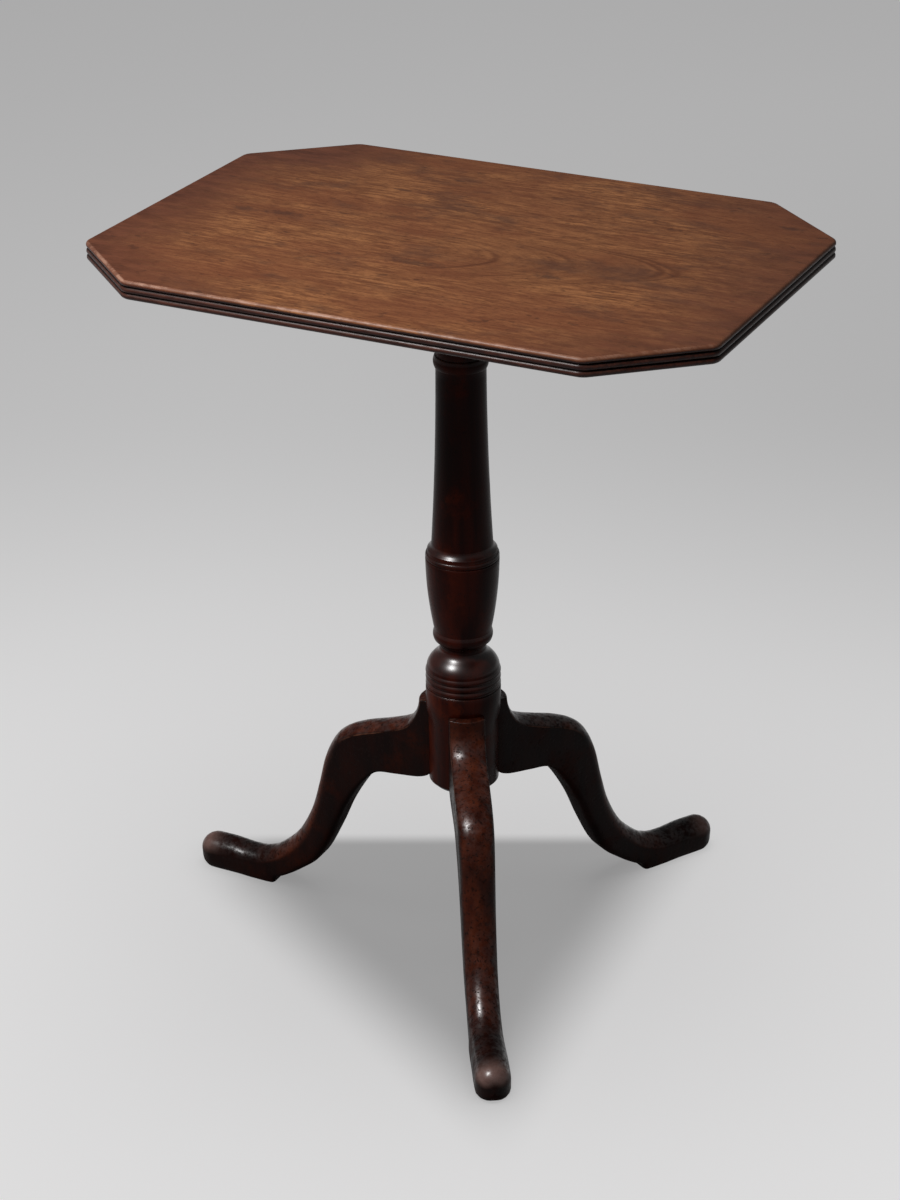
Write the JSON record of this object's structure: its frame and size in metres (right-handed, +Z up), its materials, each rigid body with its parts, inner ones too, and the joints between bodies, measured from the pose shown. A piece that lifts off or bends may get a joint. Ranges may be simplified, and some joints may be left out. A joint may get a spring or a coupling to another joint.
{
  "type": "tilt top table",
  "caption": "Tilt top occasional table: canted rectangular reeded top on bearers, hinged on a turned column with cabriole tripod legs and a spring catch.",
  "frame": {"origin": "on the floor, on the column's axis, with the top level", "axes": "+Z up along the column, X along the top's long side with the single leg and the catch towards -X, Y along the top's short side and the tilting axis"},
  "size_m": [0.6, 0.5162, 0.71],
  "materials": {
    "top_wood": "waxed, satin",
    "stand_wood": "dark polished, glossy",
    "frame_wood": "unpolished, dusty",
    "brass": "aged, satin",
    "steel": "darkened"
  },
  "bodies": {
    "stand": {"column": "stand_wood", "tenon_wedge": "frame_wood", "leg_left": "stand_wood", "leg_front": "stand_wood", "leg_right": "stand_wood", "pivot_block": "frame_wood", "catch_keeper": "brass", "keeper_screws": "brass"},
    "top": {"table_top": "top_wood", "bearer_front": "frame_wood", "bearer_back": "frame_wood", "bearer_screws": "steel", "catch_plate": "brass", "catch_case": "brass", "catch_screws": "brass", "catch_spring": "steel"},
    "catch": {"catch_bolt": "brass", "catch_knob": "brass"}
  },
  "joints": [
    {"name": "top_tilt", "type": "hinge", "parent": "stand", "child": "top", "pos_m": [0.058, 0, 0.679], "axis": [0, 1, 0], "range_deg": [0, 90]},
    {"name": "catch_slide", "type": "slide", "parent": "top", "child": "catch", "axis": [-1, 0, 0], "range_m": [0, 0.007], "stiffness_N_per_m": 300, "springref_m": -0.003, "deforming": ["catch_spring"]}
  ]
}
